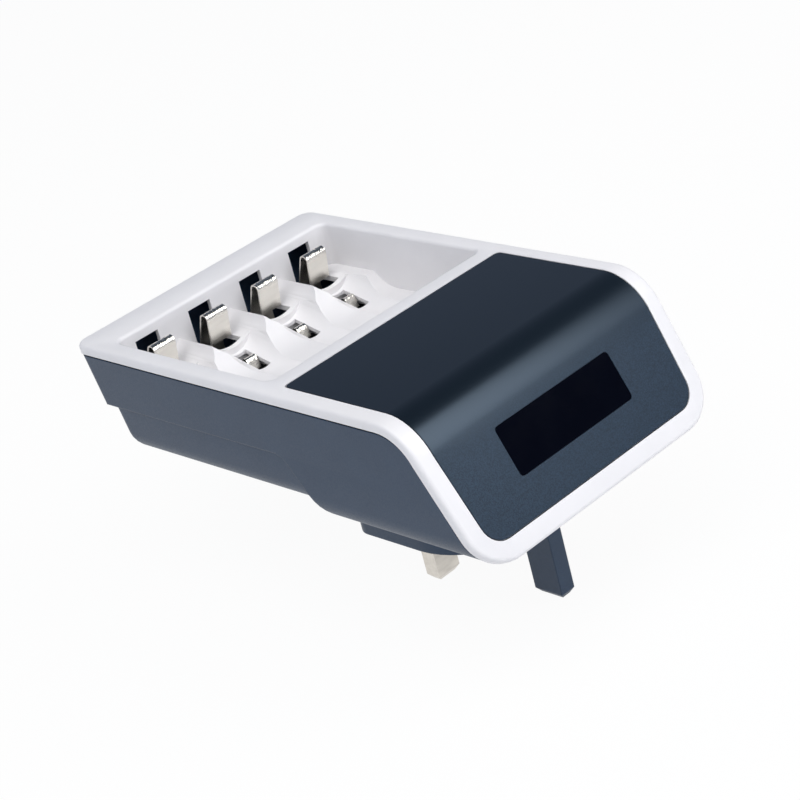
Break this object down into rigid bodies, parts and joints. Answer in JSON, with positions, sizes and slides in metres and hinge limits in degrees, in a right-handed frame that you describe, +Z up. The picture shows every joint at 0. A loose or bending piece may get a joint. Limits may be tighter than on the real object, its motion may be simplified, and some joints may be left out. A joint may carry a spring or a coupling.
{
  "type": "aa battery charger",
  "caption": "Plug-in charger for round rechargeable cells, with spring contacts in an open tray, a sloped front with a dark display window and mains pins underneath",
  "frame": {"origin": "centre of the plug face, midway between the earth pin and the line of the two line pins", "axes": "+X right seen from the display end, +Y toward the cell bays, +Z up out of the open tray, pins point along -Z"},
  "size_m": [0.0742, 0.1245, 0.0625],
  "materials": {
    "slate_plastic": "fine satin moulding texture",
    "cover_plastic": "satin top, finely grained slope",
    "white_plastic": "satin white moulding",
    "window_black": "gloss black, tinted",
    "panel_glass": "dark display glass",
    "board_laminate": "black circuit laminate",
    "contact_nickel": "bright nickel plate with fold marks",
    "pin_nickel": "satin nickel plate",
    "sleeve_plastic": "black insulation",
    "coil_tape": "yellow winding tape",
    "component_black": "black moulded component",
    "fuse_body": "ceramic fuse body",
    "screw_steel": "zinc plated steel"
  },
  "bodies": {
    "body": {"lower_housing": "slate_plastic", "upper_frame": "white_plastic", "front_cover": "cover_plastic", "display_window": "window_black", "display_panel": "panel_glass", "display_board": "board_laminate", "plug_base": "slate_plastic", "live_pin": "pin_nickel", "neutral_pin": "pin_nickel", "earth_pin": "slate_plastic", "live_sleeve": "sleeve_plastic", "neutral_sleeve": "sleeve_plastic", "power_board": "board_laminate", "transformer": "coil_tape", "mains_capacitor": "component_black", "output_capacitor": "component_black", "mains_fuse": "fuse_body", "bridge_rectifier": "component_black", "contact_board": "board_laminate", "charge_controller": "component_black", "housing_screws": "screw_steel", "positive_contact_1": "contact_nickel", "positive_contact_2": "contact_nickel", "positive_contact_3": "contact_nickel", "positive_contact_4": "contact_nickel"},
    "aa_contact_1": {"aa_contact_1": "contact_nickel"},
    "aa_contact_2": {"aa_contact_2": "contact_nickel"},
    "aa_contact_3": {"aa_contact_3": "contact_nickel"},
    "aa_contact_4": {"aa_contact_4": "contact_nickel"},
    "aaa_contact_1": {"aaa_contact_1": "contact_nickel"},
    "aaa_contact_2": {"aaa_contact_2": "contact_nickel"},
    "aaa_contact_3": {"aaa_contact_3": "contact_nickel"},
    "aaa_contact_4": {"aaa_contact_4": "contact_nickel"}
  },
  "joints": [
    {"name": "aa_spring_1", "type": "hinge", "parent": "body", "child": "aa_contact_1", "pos_m": [-0.024, 0.0784, 0.0183], "axis": [-1, 0, 0], "range_deg": [0, 10], "stiffness_Nm_per_rad": 0.06},
    {"name": "aa_spring_2", "type": "hinge", "parent": "body", "child": "aa_contact_2", "pos_m": [-0.008, 0.0784, 0.0183], "axis": [-1, 0, 0], "range_deg": [0, 10], "stiffness_Nm_per_rad": 0.06},
    {"name": "aa_spring_3", "type": "hinge", "parent": "body", "child": "aa_contact_3", "pos_m": [0.008, 0.0784, 0.0183], "axis": [-1, 0, 0], "range_deg": [0, 10], "stiffness_Nm_per_rad": 0.06},
    {"name": "aa_spring_4", "type": "hinge", "parent": "body", "child": "aa_contact_4", "pos_m": [0.024, 0.0784, 0.0183], "axis": [-1, 0, 0], "range_deg": [0, 10], "stiffness_Nm_per_rad": 0.06},
    {"name": "aaa_spring_1", "type": "hinge", "parent": "body", "child": "aaa_contact_1", "pos_m": [-0.024, 0.0664, 0.0183], "axis": [-1, 0, 0], "range_deg": [0, 16], "stiffness_Nm_per_rad": 0.02},
    {"name": "aaa_spring_2", "type": "hinge", "parent": "body", "child": "aaa_contact_2", "pos_m": [-0.008, 0.0664, 0.0183], "axis": [-1, 0, 0], "range_deg": [0, 16], "stiffness_Nm_per_rad": 0.02},
    {"name": "aaa_spring_3", "type": "hinge", "parent": "body", "child": "aaa_contact_3", "pos_m": [0.008, 0.0664, 0.0183], "axis": [-1, 0, 0], "range_deg": [0, 16], "stiffness_Nm_per_rad": 0.02},
    {"name": "aaa_spring_4", "type": "hinge", "parent": "body", "child": "aaa_contact_4", "pos_m": [0.024, 0.0664, 0.0183], "axis": [-1, 0, 0], "range_deg": [0, 16], "stiffness_Nm_per_rad": 0.02}
  ]
}
